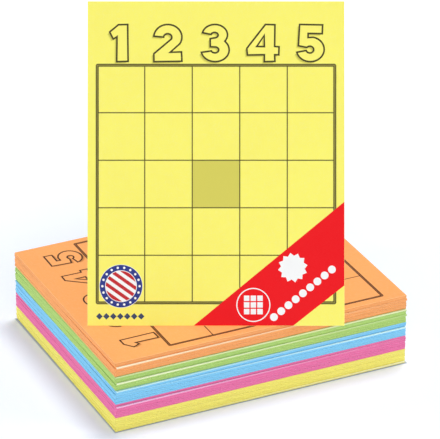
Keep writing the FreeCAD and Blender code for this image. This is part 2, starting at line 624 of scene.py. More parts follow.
def effect(graph: Graph, which: Effect, **inputs: Socket) -> bpy.types.NodeOutputs:
    """Puts one of the shader groups into a material and gives its outputs."""
    return graph.add("ShaderNodeGroup", inputs, node_tree=bpy.data.node_groups[which.value]).outputs


@dataclass(frozen=True)
class BoardFinish:
    """Solid-dyed board, matt and slightly felted, with cut sides a little deeper than its face.

    Attributes:
        name: the material's name.
        tones: the board's colours.
        painted_highlights: how strongly the painted highlight shows on the front rims of cards that stand
            out.
        place: the frame in which the pattern lies, for a card that stands.
        cloud_tones, ply_tones: how dark and how light the face and the cut sides get.
        cloud_range, ply_range: how strong the noise of each is at those two tones.
        card_tone, card_share: how light the sides of a card may be against another's, and how much of
            that shows.
        fibre_share, bare_share: how strongly single fibres show, and how far they are from dyed to bare.
        wear_and_light, least_wear, wear_and_highlight_lift: how strongly the paler rims show, partly worn
        board and partly painted light over the shade between cards, how much of that shows where they are
        worn least, and how much the side's colour is lifted towards white for them and for the painted
        highlights.
        roughness: the shader's, where the face shines most.
        cloud_gloss, side_matt: how much the roughness varies, and how much rougher a cut side is.
        specular: the shader's specular level.
        relief, relief_height: how strong and how high the bump is.
    """

    name: str
    tones: BoardTones
    painted_highlights: float = 1.0
    place: Matrix = field(default_factory=lambda: Matrix.Identity(4))
    cloud_tones: Point = (0.98, 1.01)
    cloud_range: Point = (0.3, 0.7)
    ply_tones: Point = (0.96, 1.02)
    ply_range: Point = (0.36, 0.66)
    card_tone: float = 1.06
    card_share: float = 0.5
    fibre_share: float = 0.3
    bare_share: float = 0.3
    wear_and_light: float = 0.3
    least_wear: float = 0.6
    wear_and_highlight_lift: float = 0.5
    roughness: float = 0.57
    cloud_gloss: float = 0.1
    side_matt: float = 0.15
    specular: float = 0.3
    relief: float = 0.22
    relief_height: float = 0.00006

    def build(self) -> bpy.types.Material:
        """Makes the finish.

        Returns:
            Its material.
        """
        material, graph, shader, coordinates = new_material(self.name)
        own = graph.own_frame(coordinates, self.place)
        normal = graph.add("ShaderNodeTexCoord").outputs["Normal"]
        own_normal = graph.own_frame(normal, self.place.to_3x3().to_4x4())
        fibre = effect(graph, Effect.FIBRE, Vector=own)
        edge = effect(graph, Effect.CUT_EDGE, Vector=own, Normal=own_normal)
        graph.link(self.colour(graph, fibre, edge), shader.inputs["Base Color"])
        rough = graph.rise(fibre["Cloud"], self.cloud_gloss, self.roughness)
        rough = graph.math("ADD", rough, graph.math("MULTIPLY", edge["Sides"], self.side_matt))
        graph.link(rough, shader.inputs["Roughness"])
        height = graph.mix(edge["Sides"], fibre["Height"], edge["Plies"])
        bump = {"Height": height, "Strength": self.relief, "Distance": self.relief_height}
        graph.link(graph.add("ShaderNodeBump", bump).outputs[0], shader.inputs["Normal"])
        shader.inputs["Specular IOR Level"].default_value = self.specular
        return material

    def colour(self, graph: Graph, fibre: bpy.types.NodeOutputs, edge: bpy.types.NodeOutputs) -> Socket:
        """The board's colour all over.

        Args:
            graph: the material's tree.
            fibre, edge: what the two shader groups put out.

        Returns:
            The colour.
        """
        face, side = self.tones.face, self.tones.side
        clouds, plies = (
            [scale_rgb(colour, factor) for factor in factors]
            for colour, factors in ((face, self.cloud_tones), (side, self.ply_tones))
        )
        clouded = graph.mix(graph.ramp(fibre["Cloud"], *self.cloud_range), *clouds)
        fibres = graph.math("MULTIPLY", fibre["Fibres"], self.fibre_share)
        flecked = graph.mix(fibres, clouded, blend_rgb(face, BARE_FIBRE, self.bare_share))
        layered = graph.mix(graph.ramp(edge["Plies"], *self.ply_range), *plies)
        differs = graph.math("MULTIPLY", edge["Card"], self.card_share)
        varied = graph.mix(differs, layered, scale_rgb(side, self.card_tone))
        unworn = graph.mix(edge["Sides"], flecked, varied)
        # Paler rims: partly worn board, partly painted light that offsets the shade in the grooves between
        # cards.
        wear_and_light = graph.rise(edge["Worn"], 1.0 - self.least_wear, self.least_wear)
        rims = graph.math("MULTIPLY", graph.math("MULTIPLY", edge["Rims"], wear_and_light), self.wear_and_light)
        # Painted highlight on the front rims and ledges of cards that stand out of the stack, lifted towards
        # white like the rims.
        painted_highlights = graph.math("MULTIPLY", edge["Streak"], self.painted_highlights)
        return graph.mix(graph.highest(rims, painted_highlights), unworn, lift_rgb(side, self.wear_and_highlight_lift))


@dataclass(frozen=True)
class InkFinish:
    """A printed ink, dense but not quite even, over board of another colour.

    Attributes:
        name: the material's name.
        ink, ground: the colours of the ink and of what shows through it.
        cover: how well the ink covers where it is thin.
        roughness, specular: the shader's, the first one where the film shines most.
        shine: how much the roughness varies.
        grain, grain_height: how strong and how high the bump is.
    """

    name: str
    ink: RGB
    ground: RGB
    cover: float = 0.9
    roughness: float = 0.56
    specular: float = 0.2
    shine: float = 0.16
    grain: float = 0.12
    grain_height: float = 0.00004

    def build(self) -> bpy.types.Material:
        """Makes the finish.

        Returns:
            Its material.
        """
        material, graph, shader, coordinates = new_material(self.name)
        film = effect(graph, Effect.INK_FILM, Vector=coordinates)
        bare = graph.math("MULTIPLY", film["Thin"], 1.0 - self.cover)
        graph.link(graph.mix(bare, self.ink, self.ground), shader.inputs["Base Color"])
        graph.link(graph.rise(film["Shine"], self.shine, self.roughness), shader.inputs["Roughness"])
        bump = {"Height": film["Height"], "Strength": self.grain, "Distance": self.grain_height}
        graph.link(graph.add("ShaderNodeBump", bump).outputs[0], shader.inputs["Normal"])
        shader.inputs["Specular IOR Level"].default_value = self.specular
        return material


# --- the cards and where they are ----------------------------------------------------------------


@dataclass(frozen=True)
class Board:
    """The die-cut board that every card is."""

    width: float = 181.0
    length: float = 228.6
    thickness: float = 1.5
    card_gap: float = 0.08

    @property
    def pitch(self) -> float:
        """The height of one layer of the stack."""
        return self.thickness + self.card_gap

    def from_corner(self, loop: Loop) -> Loop:
        """A loop measured from a card's lower left corner, in the card's own frame."""
        return moved(loop, (-self.width / 2, -self.length / 2))


@dataclass(frozen=True)
class CardPlace:
    """One card of the pack, and where it lies or stands."""

    node: str
    matrix: Matrix

    @classmethod
    def read(cls, node: str) -> "CardPlace":
        """Reads a card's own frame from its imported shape.

        A card's face and back have the most area and its two ends the least, so the directions in
        which its area faces are the card's own axes.

        Args:
            node: the card's name.

        Returns:
            The place, with a matrix from the card's own frame to the pack's.
        """
        mesh = frame["nodes"][node].data
        count = len(mesh.polygons)
        normals, areas = np.zeros(count * 3), np.zeros(count)
        mesh.polygons.foreach_get("normal", normals)
        mesh.polygons.foreach_get("area", areas)
        normals = normals.reshape(-1, 3)
        _, axes = np.linalg.eigh((normals * areas[:, None]).T @ normals)
        out = Vector(axes[:, 2])
        if out.z < 0:
            out.negate()
        head = Vector(axes[:, 0])
        if head.z - head.x < 0:
            head.negate()
        across = head.cross(out)
        corners = np.zeros(len(mesh.vertices) * 3)
        mesh.vertices.foreach_get("co", corners)
        corners = corners.reshape(-1, 3)
        middle = [(corners @ axis).min() / 2 + (corners @ axis).max() / 2 for axis in (across, head)]
        back = (corners @ np.array(out)).min()
        matrix = Matrix((across, head, out)).transposed().to_4x4()
        matrix.translation = across * middle[0] + head * middle[1] + out * back
        return cls(node, matrix)

    @property
    def stands(self) -> bool:
        """Whether this is the card that stands on the stack."""
        return self.node.startswith("standing")

    @property
    def colour(self) -> BoardColour:
        """The colour of its board."""
        return next(colour for colour in BoardColour if colour.value in self.node)


# --- flat shapes ---------------------------------------------------------------------------------


def arc(centre: Point, radii: Point, start: float, end: float, step: float = 10.0) -> Loop:
    """Points along part of an ellipse.

    Args:
        centre: its middle.
        radii: its half width and half height.
        start, end: the angles it runs between, in degrees.
        step: the most degrees between two points.

    Returns:
        The points, both ends among them.
    """
    count = max(2, math.ceil(abs(end - start) / step))
    angles = (math.radians(start + (end - start) * i / count) for i in range(count + 1))
    return [(centre[0] + radii[0] * math.cos(a), centre[1] + radii[1] * math.sin(a)) for a in angles]


def disc(centre: Point, radius: float, step: float = 6.0) -> Loop:
    """A full circle of points, none of them doubled."""
    return arc(centre, (radius, radius), 0.0, 360.0, step)[:-1]


def square(centre: Point, half: float) -> Loop:
    """An upright square with half its side given."""
    return [(centre[0] + x * half, centre[1] + y * half) for x, y in ((-1, -1), (1, -1), (1, 1), (-1, 1))]


def star(centre: Point, radius: float, turn: float, points: int, waist: float) -> Loop:
    """A pointed star.

    Args:
        centre: its middle.
        radius: how far its points reach.
        turn: how far it is turned from having a point straight up, in degrees.
        points: how many points it has.
        waist: how far its inner corners reach, as a share of the radius.

    Returns:
        Its outline.
    """
    loop = []
    for i in range(2 * points):
        reach = radius * (waist if i % 2 else 1.0)
        angle = math.radians(90.0 + turn + 180.0 * i / points)
        loop.append((centre[0] + reach * math.cos(angle), centre[1] + reach * math.sin(angle)))
    return loop


def moved(loop: Loop, shift: Point) -> Loop:
    """A loop shifted as a whole."""
    return [(x + shift[0], y + shift[1]) for x, y in loop]


def offset_loop(loop: Loop, distance: float) -> Loop:
    """Moves a closed loop along its corners' bisectors.

    Args:
        loop: the loop.
        distance: how far its sides move outwards, or inwards for less than 0.

    Returns:
        The moved loop, with as many points.
    """
    area = sum(a[0] * b[1] - b[0] * a[1] for a, b in zip(loop, loop[1:] + loop[:1]))
    side = distance if area > 0 else -distance
    result = []
    for before, at, after in zip(loop[-1:] + loop[:-1], loop, loop[1:] + loop[:1]):
        first = (Vector(at) - Vector(before)).normalized()
        second = (Vector(after) - Vector(at)).normalized()
        bisector = Vector((first.y + second.y, -first.x - second.x))
        reach = 2.0 * side / max(bisector.length_squared, 0.5)
        result.append((at[0] + bisector.x * reach, at[1] + bisector.y * reach))
    return result


@dataclass
class FlatLayers:
    """Flat shapes of one piece on a card's face, gathered into one mesh with several finishes."""

    name: str
    mesh: bmesh.types.BMesh = field(default_factory=bmesh.new)
    finishes: list[Enum] = field(default_factory=list)

    def add_mesh(self, mesh: bpy.types.Mesh, slots: list[Enum | None]) -> None:
        """Adds a mesh, then drops it.

        Args:
            mesh: the mesh, in the card's own frame.
            slots: the finish of each of its material slots, or None for a slot that no face has.
        """
        self.finishes += [finish for finish in slots if finish and finish not in self.finishes]
        first = len(self.mesh.faces)
        self.mesh.from_mesh(mesh)
        self.mesh.faces.ensure_lookup_table()
        for face in self.mesh.faces[first:]:
            face.material_index = self.finishes.index(slots[face.material_index])
        bpy.data.meshes.remove(mesh)

    def add_plain(self, mesh: bpy.types.Mesh, finish: Enum) -> None:
        """Adds a mesh that has one finish all over, then drops it."""
        self.add_mesh(mesh, [finish] * max(1, len(mesh.materials)))

    def add(self, loops: list[Loop], bottom: float, top: float, finish: Enum) -> None:
        """Adds a plate: where loops lie inside each other, every second one is a hole.

        Args:
            loops: closed outlines, in millimetres in the card's own frame.
            bottom, top: how far its two faces are above the board's face, in millimetres.
            finish: its finish.
        """
        curve = bpy.data.curves.new("plate", "CURVE")
        curve.dimensions, curve.fill_mode = "2D", "BOTH"
        curve.extrude = (top - bottom) / 2 * MM
        for loop in loops:
            spline = curve.splines.new("POLY")
            spline.points.add(len(loop) - 1)
            for point, (x, y) in zip(spline.points, loop):
                point.co = (x * MM, y * MM, 0.0, 1.0)
            spline.use_cyclic_u = True
        plate = bpy.data.objects.new("plate", curve)
        bpy.context.scene.collection.objects.link(plate)
        bpy.context.view_layer.update()
        mesh = bpy.data.meshes.new_from_object(plate)
        bpy.data.objects.remove(plate)
        bpy.data.curves.remove(curve)
        mesh.transform(Matrix.Translation((0.0, 0.0, (top + bottom) / 2 * MM)))
        solid = bmesh.new()
        solid.from_mesh(mesh)
        bmesh.ops.remove_doubles(solid, verts=solid.verts, dist=1e-7)
        bmesh.ops.recalc_face_normals(solid, faces=solid.faces)
        solid.to_mesh(mesh)
        solid.free()
        self.add_plain(mesh, finish)

    def to_mesh(self, materials: dict[Enum, bpy.types.Material]) -> bpy.types.Mesh:
        """Ends the gathering.

        Args:
            materials: one for each finish.

        Returns:
            The mesh, in the card's own frame, with a slot for each finish in their order.
        """
        mesh = bpy.data.meshes.new(self.name)
        self.mesh.to_mesh(mesh)
        self.mesh.free()
        for finish in self.finishes:
            mesh.materials.append(materials[finish])
        return mesh


def place_piece(name: str, mesh: bpy.types.Mesh, card: CardPlace, board: Board) -> None:
    """Puts a mesh in a card's own frame, from its face up, onto that card and lets it ride there.

    Args:
        name: the piece's name.
        mesh: its mesh, which is moved into place.
        card: the card.
        board: the card's board.
    """
    mesh.transform(card.matrix @ Matrix.Translation((0.0, 0.0, board.thickness * MM)))
    piece = bpy.data.objects.new(name, mesh)
    bpy.context.scene.collection.objects.link(piece)
    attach(piece, card.node)
    card.colour.slot
    log.info("%s: %d faces on %s", name, len(mesh.polygons), card.node)


# --- the printed face ----------------------------------------------------------------------------


class InkLayer(Enum):
    """The parts of the print, by the finish that each has."""

    LINE = "line"
    CROSSING = "crossing"
    BETWEEN = "between_lines"
    TINT = "free_square"
    SHADE = "numeral_shade"
    SOFT_SHADE = "numeral_soft_shade"
    FILL = "numeral_fill"
    OUTLINE = "numeral_outline"


Inks = dict[InkLayer, bpy.types.Material]


@dataclass(frozen=True)
class GridPrint:
    """The printed grid: a double-line frame, its rules, and the tinted square in the middle.

    Attributes:
        board: the board it is printed on.
        squares: how many squares it has each way.
        side_margin, foot_margin: how far the middle of its frame is from the board's edges.
        frame_line, frame_line_gap: the width of the frame's two lines and of the gap between them.
        corner: the radius of the frame's outer corners.
        rule_width: the width of its rules.
        ink, tint: the heights of the lines and of the tint.
        row_rise, crossing_rise: how much higher the ink is on the rules between rows and where two
            lines cross, so that no two tops lie in one plane.
    """

    board: Board
    squares: int = 5
    side_margin: float = 6.85
    foot_margin: float = 16.2
    frame_line: float = 0.77
    frame_line_gap: float = 0.58
    corner: float = 1.1
    rule_width: float = 0.77
    ink: float = 0.05
    tint: float = 0.03
    row_rise: float = 1.03
    crossing_rise: float = 1.06

    @property
    def side(self) -> float:
        """The grid's side, between the middles of its frame."""
        return self.board.width - 2 * self.side_margin

    @property
    def centre_y(self) -> float:
        """How far the grid's middle is above the card's."""
        return self.foot_margin + self.side / 2 - self.board.length / 2

    def tree(self) -> bpy.types.NodeTree:
        """Builds the node tree that lays out the grid about its own middle.

        Returns:
            The tree, with an input for each size and for each finish.
        """
        sizes = ("Grid Side", "Line", "Gap", "Corner", "Rule", "Ink Height", "Tint Height")
        finishes = ("Line Ink", "Crossing Ink", "Between Lines", "Tint")
        inputs = {"Squares": "Int", **dict.fromkeys(sizes, "Float"), **dict.fromkeys(finishes, "Material")}
        graph, given, result = LayoutGraph.group("printed_grid", inputs, {"Geometry": "Geometry"})
        side, line, gap, corner, rule, ink, tint = (given[name] for name in sizes)
        line_ink, crossing_ink, between_ink, tint_ink = (given[name] for name in finishes)

        spread = graph.math("ADD", gap, line)
        outer, inner = graph.math("ADD", side, spread), graph.math("SUBTRACT", side, spread)
        graph.keep(graph.square_line(outer, line, ink, corner), line_ink, ink)
        graph.keep(graph.square_line(inner, line, ink), line_ink, ink)
        graph.keep(graph.square_line(side, gap, tint), between_ink, tint)

        pitch = graph.math("DIVIDE", side, given["Squares"])
        rules = graph.math("SUBTRACT", given["Squares"], 1)
        first = graph.math("MULTIPLY", pitch, graph.math("MULTIPLY", rules, -0.5))
        first = graph.math("ADD", first, graph.math("MULTIPLY", pitch, 0.5))
        columns = graph.row(rules, graph.combine(x=first), graph.combine(x=pitch))
        rows = graph.row(rules, graph.combine(y=first), graph.combine(y=pitch))
        inside = graph.math("SUBTRACT", graph.math("SUBTRACT", side, gap), graph.math("MULTIPLY", line, 2.0))
        row_ink = graph.math("MULTIPLY", ink, self.row_rise)
        graph.keep(graph.repeat(columns, graph.block(rule, inside, ink)), line_ink, ink)
        graph.keep(graph.repeat(rows, graph.block(inside, rule, row_ink)), line_ink, row_ink)

        dot = graph.math("MULTIPLY", ink, self.crossing_rise)
        near = graph.math("MULTIPLY", inner, -0.5)
        head_and_foot = graph.row(2, graph.combine(y=near), graph.combine(y=inner))
        two_sides = graph.row(2, graph.combine(x=near), graph.combine(x=inner))
        for first_row, second_row, x, y in (
            (rows, columns, rule, rule), (head_and_foot, columns, rule, line), (two_sides, rows, line, rule),
        ):
            crossings = graph.repeat(first_row, graph.repeat(second_row, graph.block(x, y, dot)))
            graph.keep(crossings, crossing_ink, dot)

        bare = graph.math("SUBTRACT", pitch, rule)
        graph.keep(graph.block(bare, bare, tint), tint_ink, tint)
        return graph.join(result["Geometry"])

    def build(self, materials: Inks) -> bpy.types.Mesh:
        """Lays out the grid.

        Args:
            materials: a finish for each part of the print.

        Returns:
            One mesh, standing on the card's face in the card's own frame.
        """
        sizes = {
            "Grid Side": self.side, "Line": self.frame_line, "Gap": self.frame_line_gap,
            "Corner": self.corner, "Rule": self.rule_width, "Ink Height": self.ink, "Tint Height": self.tint,
        }
        finishes = {
            "Line Ink": InkLayer.LINE, "Crossing Ink": InkLayer.CROSSING, "Between Lines": InkLayer.BETWEEN,
            "Tint": InkLayer.TINT,
        }
        values = {"Squares": self.squares, **{name: size * MM for name, size in sizes.items()}}
        values.update((name, materials[layer]) for name, layer in finishes.items())
        mesh = mesh_from_tree(self.tree(), values)
        mesh.transform(Matrix.Translation((0.0, self.centre_y * MM, 0.0)))
        return mesh


@dataclass(frozen=True)
class Numerals:
    """The heading: plain outlined numerals 1 to 5, one over each column, with a soft shade behind.

    Attributes:
        board: the board they are printed on.
        foot: how far their feet are above the board's lower edge.
        columns: how far their middles are from its left edge.
        outline: the width of their outlines.
        shade_shift: how far their shade is shifted down and to the left.
        shade_top, fill_top, outline_top: how high their layers are.
        shades: the shift and the height of each layer of shade against the above, and its finish.
    """

    board: Board
    foot: float = 186.0
    columns: tuple[float, ...] = (23.2, 56.6, 90.1, 123.6, 157.0)
    outline: float = 1.2
    shade_shift: float = 1.15
    shade_top: float = 0.016
    fill_top: float = 0.028
    outline_top: float = 0.05
    shades: tuple[tuple[float, float, InkLayer], ...] = (
        (1.45, 0.6, InkLayer.SOFT_SHADE), (1.0, 1.0, InkLayer.SHADE),
    )

    @staticmethod
    def contours() -> list[list[Loop]]:
        """Draws the numerals.

        Returns:
            The outer loop of each one and any hole in it, about the middle of its foot.
        """
        one = [(-2.6, 0.0), (5.4, 0.2), (5.1, 26.2), (-1.4, 26.0), (-7.6, 20.9), (-5.0, 15.9), (-2.4, 17.6)]
        two = [(-9.8, 0.0), (9.9, 0.3), (9.6, 6.9), (1.6, 6.6)]
        two += arc((0.0, 17.3), (9.9, 8.9), -32, 176)
        two += arc((-0.1, 17.2), (2.9, 2.5), 178, -35) + [(-9.9, 5.6)]
        three = arc((-0.4, 18.9), (8.9, 7.3), 168, -38) + arc((-0.2, 8.3), (9.9, 8.3), 46, -168)
        three += arc((-0.4, 8.3), (2.7, 2.1), -160, 80) + [(-3.6, 10.5), (-3.7, 16.2)]
        three += arc((-0.6, 18.7), (2.5, 1.9), -80, 165)
        four = [(1.7, 26.2), (8.4, 26.0), (8.2, 10.7), (11.3, 10.5), (11.1, 4.8), (8.2, 4.9), (8.4, 0.2)]
        four += [(0.9, 0.0), (1.0, 4.9), (-11.0, 4.7), (-11.4, 9.4)]
        four_hole = [(1.0, 10.6), (-4.4, 10.7), (0.9, 18.6)]
        five = [(-7.6, 26.2), (8.6, 25.9), (8.3, 19.7), (-1.6, 19.9), (-1.7, 17.0)]
        five += arc((-0.1, 8.7), (9.8, 8.7), 78, -166)
        five += arc((-0.4, 8.5), (2.7, 2.4), -165, 140) + [(-8.5, 11.2)]
        return [[one], [two], [three], [four, four_hole], [five]]

    def add_to(self, layers: FlatLayers) -> None:
        """Adds the numerals to a card's print.

        Args:
            layers: the print.
        """
        half = self.outline / 2
        for column, contours in zip(self.columns, self.contours()):
            loops = [self.board.from_corner(moved(loop, (column, self.foot))) for loop in contours]
            for reach, height, finish in self.shades:
                away = (-self.shade_shift * reach, -self.shade_shift * reach)
                layers.add([moved(loop, away) for loop in loops], 0.0, self.shade_top * height, finish)
            layers.add(loops, 0.0, self.fill_top, InkLayer.FILL)
            edges = [offset_loop(loop, reach) for loop in loops for reach in (half, -half)]
            layers.add(edges, 0.0, self.outline_top, InkLayer.OUTLINE)


@dataclass(frozen=True)
class CardPrint:
    """Everything printed on a card's face, made once and laid on every card in its own inks."""

    board: Board

    @staticmethod
    def inks(colour: BoardColour) -> Inks:
        """Makes the finishes of the print on one colour of board.

        Args:
            colour: the board's colour.

        Returns:
            A material for each part of the print.
        """
        face, line = TONES[colour].face, TONES[colour].line
        heavy = blend_rgb(line, BLACK, 0.45)
        mixes = {
            InkLayer.LINE: (line, 0.88),
            InkLayer.CROSSING: (heavy, 0.9),
            InkLayer.BETWEEN: (blend_rgb(face, line, 0.75), 0.9),
            InkLayer.TINT: (blend_rgb(face, line, 0.345), 0.92),
            InkLayer.SHADE: (blend_rgb(face, line, 0.45), 0.8),
            InkLayer.SOFT_SHADE: (blend_rgb(face, line, 0.18), 0.8),
            InkLayer.FILL: (blend_rgb(face, (0.95, 0.95, 0.9), 0.04), 0.7),
            InkLayer.OUTLINE: (heavy, 0.95),
        }
        return {
            layer: InkFinish(f"{colour.value}_{layer.value}", ink, face, cover).build()
            for layer, (ink, cover) in mixes.items()
        }

    def build(self, materials: Inks) -> tuple[bpy.types.Mesh, list[InkLayer]]:
        """Makes the print.

        Args:
            materials: the finishes of one colour.

        Returns:
            The mesh in a card's own frame, and which part each of its material slots is.
        """
        layers = FlatLayers("card_print")
        Numerals(self.board).add_to(layers)
        grid = GridPrint(self.board).build(materials)
        by_name = {material.name: layer for layer, material in materials.items()}
        layers.add_mesh(grid, [by_name[slot.name] if slot else None for slot in grid.materials])
        return layers.to_mesh(materials), layers.finishes


# --- the labels on the standing card -------------------------------------------------------------


class LabelInk(Enum):
    """The finishes of the labels."""

    BAND_RED = "band_red"
    BAND_WHITE = "band_white"
    BADGE_WHITE = "badge_white"
    BADGE_RED = "badge_red"
    BADGE_BLUE = "badge_blue"
    NAVY_MARK = "navy_mark"


LabelInks = dict[LabelInk, bpy.types.Material]


@dataclass(frozen=True)
class Beads:
    """Flat beads, all alike, in a simple layout.

    Attributes:
        layout: the name of the layout's node tree.
        count: how many beads there are.
        sides: how many sides each bead has.
        radius: each bead's radius.
        spread: the spacing of a row, or the radius of a circle.
        centre: the layout's middle, from the card's lower left corner.
        angle: how far it is turned, in degrees.
    """

    layout: ClassVar[str]

    count: int
    sides: int
    radius: float
    spread: float
    centre: Point
    angle: float = 0.0

    @staticmethod
    def points(graph: LayoutGraph, count: Socket, spread: Socket) -> Socket:
        """The beads' middles, laid out about the origin."""
        raise NotImplementedError

    @classmethod
    def tree(cls) -> bpy.types.NodeTree:
        """Builds the layout's node tree, unless it is there.

        Returns:
            The tree, which has an input for each size and for the beads' finish.
        """
        if built := bpy.data.node_groups.get(cls.layout):
            return built
        sizes = ("Radius", "Spread", "Height")
        inputs = {"Count": "Int", "Sides": "Int", **dict.fromkeys(sizes, "Float"), "Finish": "Material"}
        graph, given, result = LayoutGraph.group(cls.layout, inputs, {"Geometry": "Geometry"})
        radius, spread, height = (given[name] for name in sizes)
        points = cls.points(graph, given["Count"], spread)
        graph.keep(graph.repeat(points, graph.bead(given["Sides"], radius, height)), given["Finish"])
        return graph.join(result["Geometry"])

    def build(self, finish: bpy.types.Material, bottom: float, top: float, board: Board) -> bpy.types.Mesh:
        """Makes the beads.

        Args:
            finish: their material.
            bottom, top: the heights of their two faces above the board's face.
            board: the card's board.

        Returns:
            One mesh in the card's own frame.
        """
        sizes = {"Radius": self.radius, "Spread": self.spread, "Height": top - bottom}
        values = {"Count": self.count, "Sides": self.sides, "Finish": finish}
        values.update((name, size * MM) for name, size in sizes.items())
        mesh = mesh_from_tree(self.tree(), values)
        ((x, y),) = board.from_corner([self.centre])
        shift = Matrix.Translation((x * MM, y * MM, (top + bottom) / 2 * MM))
        mesh.transform(shift @ Matrix.Rotation(math.radians(self.angle), 4, "Z"))
        return mesh


class BeadRow(Beads):
    """Beads in a straight row."""

    layout = "bead_row"

    @staticmethod
    def points(graph: LayoutGraph, count: Socket, spread: Socket) -> Socket:
        """Lays out the beads' middles along x, about the origin.

        Args:
            graph: the tree of the layout.
            count: how many there are.
            spread: how far they are apart.

        Returns:
            The points.
        """
        gaps = graph.math("SUBTRACT", count, 1)
        first = graph.math("MULTIPLY", graph.math("MULTIPLY", gaps, spread), -0.5)
        return graph.row(count, graph.combine(x=first), graph.combine(x=spread))


class BeadCircle(Beads):
    """Beads all round a circle."""

    layout = "bead_circle"

    @staticmethod
    def points(graph: LayoutGraph, count: Socket, spread: Socket) -> Socket:
        """The beads' middles on a circle about the origin, with the spread as its radius."""
        return graph.add("GeometryNodeMeshCircle", {"Vertices": count, "Radius": spread}).outputs[0]


@dataclass(frozen=True)
class RoundBadge:
    """The round badge: slanting stripes inside a blue ring with a circle of white dots.

    Attributes:
        centre: its middle, from the card's lower left corner.
        radius: its radius.
        rim, ring_width, stripe_gap: the widths of the white rim outside the ring, of the rim and the
            ring together, and of the white between the ring and the stripes.
        stripes: how many stripes there are, white ones among them.
        slope: the stripes' slope, in degrees.
        dots, dot_radius, dot_sides: how many dots the ring has, and their radius and sides.
    """

    centre: Point = (23.6, 27.9)
    radius: float = 15.3
    rim: float = 0.3
    ring_width: float = 4.1
    stripe_gap: float = 0.45
    stripes: int = 9
    slope: float = -35.0
    dots: int = 18
    dot_radius: float = 0.85
    dot_sides: int = 14

    def stripe(self, low: float, high: float, radius: float) -> Loop:
        """Cuts a stripe from a disc.

        Args:
            low, high: the heights of its two straight edges above the disc's middle.
            radius: the disc's radius.

        Returns:
            The stripe, turned to the stripes' slope and in its place on the badge.
        """
        start, end = (math.degrees(math.asin(max(-1.0, min(1.0, height / radius)))) for height in (low, high))
        right = arc((0.0, 0.0), (radius, radius), start, end, 6.0)
        left = [(-x, y) for x, y in reversed(right) if x > 0.001]
        turn = Matrix.Rotation(math.radians(self.slope), 2)
        return moved([tuple(turn @ Vector(point)) for point in right + left], self.centre)

    def build(self, board: Board, film: float, ink: float, materials: LabelInks) -> FlatLayers:
        """Makes the badge.

        Args:
            board: the card's board.
            film, ink: the thickness of the label and of each layer of ink on it.
            materials: the labels' finishes.

        Returns:
            Its layers.
        """
        layers = FlatLayers("standing_card_badge")
        middle, top = film / 2, film + ink
        layers.add([board.from_corner(disc(self.centre, self.radius, 4.0))], 0.0, film, LabelInk.BADGE_WHITE)
        outer, inner = self.radius - self.rim, self.radius - self.ring_width
        ring = [board.from_corner(disc(self.centre, radius, 4.0)) for radius in (outer, inner)]
        layers.add(ring, middle, top, LabelInk.BADGE_BLUE)
        radius = inner - self.stripe_gap
        width = 2 * radius / self.stripes
        for i in range(0, self.stripes, 2):
            low = -radius + i * width
            stripe = board.from_corner(self.stripe(low, low + width, radius))
            layers.add([stripe], middle, top, LabelInk.BADGE_RED)
        dots = BeadCircle(self.dots, self.dot_sides, self.dot_radius, (outer + inner) / 2, self.centre)
        white = materials[LabelInk.BADGE_WHITE]
        layers.add_plain(dots.build(white, middle, top + ink, board), LabelInk.BADGE_WHITE)
        return layers


